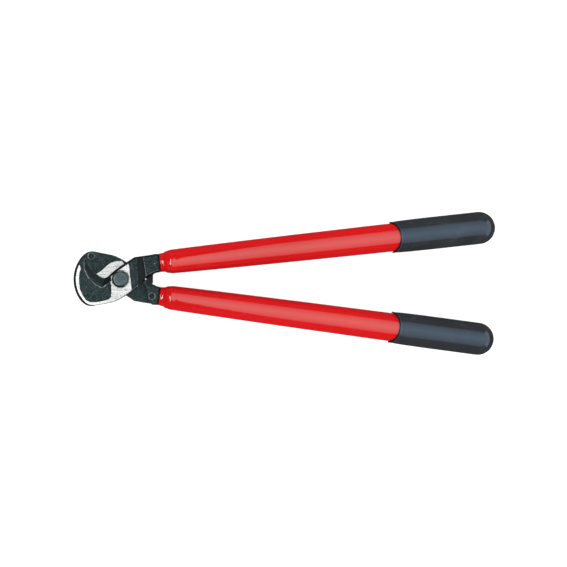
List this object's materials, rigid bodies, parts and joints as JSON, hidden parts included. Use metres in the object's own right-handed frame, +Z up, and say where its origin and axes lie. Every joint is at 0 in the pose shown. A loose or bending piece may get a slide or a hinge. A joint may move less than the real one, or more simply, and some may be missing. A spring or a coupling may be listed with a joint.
{
  "type": "cable cutter",
  "caption": "Two-handed cable cutter: two hooked shear blades on one pivot bolt, with long insulated tube handles and slip-on grips.",
  "frame": {"origin": "centre of the pivot bolt's end face, on the surface that the tool lies on", "axes": "+Z up out of the flat tool along the pivot, +X towards the grips half-way between the handles, +Y towards the upper handle; jaws shut"},
  "size_m": [0.5001, 0.1702, 0.0384],
  "materials": {
    "blackened_steel": "forged steel, phosphate-blackened, with its lap faces, rim and boss ground bright",
    "bolt_steel": "dark oiled steel, satin",
    "zinc_steel": "zinc-plated steel, satin",
    "white_nylon": "natural nylon",
    "grey_plastic": "moulded plastic, matt",
    "red_insulation": "smooth glossy plastic insulation",
    "dark_grip": "smooth semi-gloss soft plastic"
  },
  "bodies": {
    "upper_lever": {"front_blade": "blackened_steel", "pivot_bolt": "bolt_steel", "pivot_bush": "zinc_steel", "flat_washer": "bolt_steel", "disc_spring": "bolt_steel", "pivot_nut": "bolt_steel", "nut_lock_ring": "white_nylon", "upper_handle_tube": "zinc_steel", "upper_tang_pin_1": "bolt_steel", "upper_tang_pin_2": "bolt_steel", "upper_tube_plug": "grey_plastic", "upper_insulation_sleeve": "red_insulation", "upper_grip": "dark_grip"},
    "lower_lever": {"rear_blade": "blackened_steel", "lower_handle_tube": "zinc_steel", "lower_tang_pin_1": "bolt_steel", "lower_tang_pin_2": "bolt_steel", "lower_tube_plug": "grey_plastic", "lower_insulation_sleeve": "red_insulation", "lower_grip": "dark_grip"}
  },
  "joints": [
    {"name": "jaw_pivot", "type": "hinge", "parent": "upper_lever", "child": "lower_lever", "pos_m": [0, 0, 0.0192], "axis": [0, 0, -1], "range_deg": [0, 92]}
  ]
}
